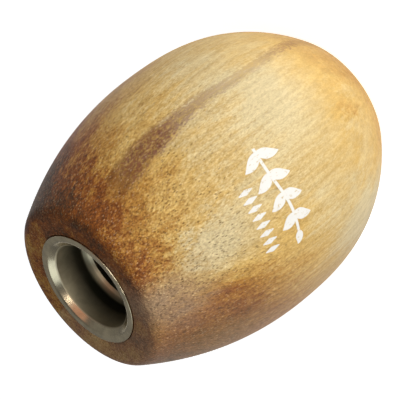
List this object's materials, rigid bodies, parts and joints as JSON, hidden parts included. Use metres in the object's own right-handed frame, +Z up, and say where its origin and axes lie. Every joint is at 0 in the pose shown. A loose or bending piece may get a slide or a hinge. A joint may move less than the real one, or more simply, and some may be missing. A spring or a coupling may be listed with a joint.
{
  "type": "lead pointer",
  "caption": "Turned wooden egg with a plated metal guide sleeve in its cut-off end and a cone of blades inside, for pointing the thick lead of a clutch pencil.",
  "frame": {"origin": "centre of the small flat base that the egg stands on", "axes": "+Z up along the egg's axis, out of the metal-lined mouth; +X points through the first blade"},
  "size_m": [0.0264, 0.0264, 0.0335],
  "materials": {
    "wood": "satin",
    "plated_steel": "satin",
    "ring_steel": "satin",
    "blade_steel": "ground",
    "spring_steel": "blued",
    "print_ink": "matte"
  },
  "bodies": {
    "root": {"egg_body": "wood", "guide_sleeve": "plated_steel", "upper_blade_ring": "ring_steel", "lower_blade_ring": "ring_steel", "snap_ring": "spring_steel", "blade_1": "blade_steel", "blade_2": "blade_steel", "blade_3": "blade_steel", "blade_4": "blade_steel", "blade_5": "blade_steel", "blade_6": "blade_steel"}
  },
  "joints": []
}
